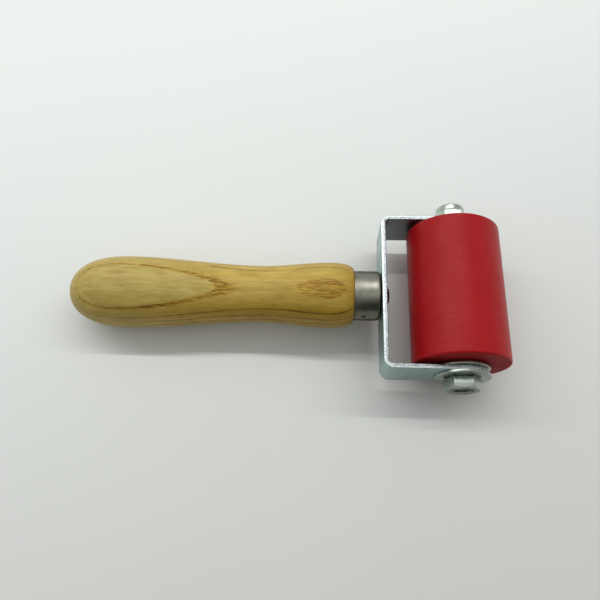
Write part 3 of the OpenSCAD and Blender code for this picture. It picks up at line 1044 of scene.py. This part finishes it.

# Table
# The pale, matt table that the tool lies on. Its colour is painted brighter at the far left, towards the
# lamps, and greyer at the near right, as painted light falloff.
table_half = 4.0
table_lit = (0.89, 0.925, 0.915)
table_shaded = (0.618, 0.628, 0.610)
table_mesh = bpy.data.meshes.new("table")
table_mesh.from_pydata(
    [(x * table_half, y * table_half, 0) for x, y in ((-1, -1), (1, -1), (1, 1), (-1, 1))], [], [(0, 1, 2, 3)]
)
table = bpy.data.objects.new("table", table_mesh)
bpy.context.scene.collection.objects.link(table)
table_top = Finish("table_top", {"Roughness": 0.6, "Specular IOR Level": 0.2})
table_mottle = table_top.math("MULTIPLY", table_top.noise(50 * mm, detail=4.0), 0.02)
table_tone = table_top.math("ADD", table_top.towards((-0.35, 0.94, 0)), table_mottle)
table_fall = table_top.node("MapRange", {
    "Value": table_tone, "From Min": -0.20, "From Max": 0.24,
}, interpolation_type="SMOOTHSTEP")
table_top.shade({"Base Color": table_top.mix(table_fall, table_shaded, table_lit)})
table_mesh.materials.append(table_top.material)

# Light
# A broad soft box and a slim strip lamp hang over the far side of the table, between pale walls. The
# soft box gives the gloss and the strip draws the shadows. A dark cloth and a grey one hang on the near
# side, behind and above the camera.
lamp_colour = (0.99, 0.985, 0.965)
lamp_distance = 1.4
wall_colour = (0.985, 1.0, 0.975, 1)
wall_light = 0.57


def hang_lamp(name, length, width, power, tilt, aside, turn=0.0):
    """A lamp along X, tilted so far from straight above towards the far side, and turned about Z."""
    lamp = bpy.data.lights.new(name, "AREA")
    lamp.shape = "RECTANGLE"
    lamp.size = length
    lamp.size_y = width
    lamp.energy = power
    lamp.color = lamp_colour
    hung = bpy.data.objects.new(name, lamp)
    bpy.context.scene.collection.objects.link(hung)
    hung.location = axle_place + Vector((aside, math.sin(tilt), math.cos(tilt))) * lamp_distance
    hung.rotation_euler = (-tilt, 0, turn)
    hung.visible_camera = False
    return hung


soft_box = hang_lamp(
    "soft_box", length=2.1, width=0.66, power=10.2, tilt=math.radians(27), aside=-0.47, turn=math.radians(8)
)
soft_box.visible_diffuse = False
strip_lamp = hang_lamp("strip_lamp", length=3.6, width=0.04, power=16.2, tilt=math.radians(25), aside=-0.15)
strip_lamp.visible_glossy = False

world = bpy.data.worlds.new("pale_walls")
world.use_nodes = True
walls = world.node_tree.nodes["Background"]
walls.inputs["Color"].default_value = wall_colour
walls.inputs["Strength"].default_value = wall_light
bpy.context.scene.world = world

cloth_half = 1.6
screen_foot = (-0.9, 0.02)
screen_top = (-0.9, 0.75)
canopy_top = (-0.27, 1.27)


def hang_cloth(name, low, high, dark, pale):
    """A cloth along X between two edges, (y, z), that the camera does not see: dark below, pale above."""
    cloth_mesh = bpy.data.meshes.new(name)
    corners = [(-cloth_half, *low), (cloth_half, *low), (cloth_half, *high), (-cloth_half, *high)]
    cloth_mesh.from_pydata(corners, [], [(0, 1, 2, 3)])
    cloth = bpy.data.objects.new(name, cloth_mesh)
    bpy.context.scene.collection.objects.link(cloth)
    cloth.visible_camera = False
    weave = Finish(name, {"Roughness": 0.9, "Specular IOR Level": 0.0})
    threads = weave.math("MULTIPLY", weave.noise(2 * mm), 0.02)
    shade = weave.math("ADD", weave.level(weave.along("Z"), low[1], high[1]), threads)
    weave.shade({"Base Color": weave.mix(shade, (dark, dark, dark), (pale, pale, pale))})
    cloth_mesh.materials.append(weave.material)
    return cloth


hang_cloth("dark_screen", screen_foot, screen_top, dark=0.02, pale=0.04)
canopy = hang_cloth("grey_canopy", screen_top, canopy_top, dark=0.2, pale=1.0)
canopy.visible_diffuse = False
canopy.visible_shadow = False

bpy.context.scene.view_settings.view_transform = "Standard"

# Camera
# Held over the near side of the table, a little left of the roller, and tipped steeply down, as the
# photograph was taken. Its place and its turns are measured in the tool's own axes.
camera_place = Vector((-54.9, -87.9, 216.6)) * mm
look_down = math.radians(68.34)
look_aside = math.radians(-5.85)
camera_roll = math.radians(-4.39)
forward = Vector((
    math.sin(look_aside) * math.cos(look_down),
    math.cos(look_aside) * math.cos(look_down),
    -math.sin(look_down),
))
rightward = Vector((math.cos(look_aside), -math.sin(look_aside), 0))
upward = rightward.cross(forward)
camera_turn = Matrix((rightward, upward, -forward)).transposed() @ Matrix.Rotation(camera_roll, 3, "Z")
lens = bpy.data.cameras.new("camera")
lens.sensor_width = 36
lens.lens = 34.03
lens.clip_start = 0.01
lens.clip_end = 50
camera = bpy.data.objects.new("camera", lens)
bpy.context.scene.collection.objects.link(camera)
camera.matrix_world = tool @ Matrix.Translation(camera_place) @ camera_turn.to_4x4()
bpy.context.scene.camera = camera
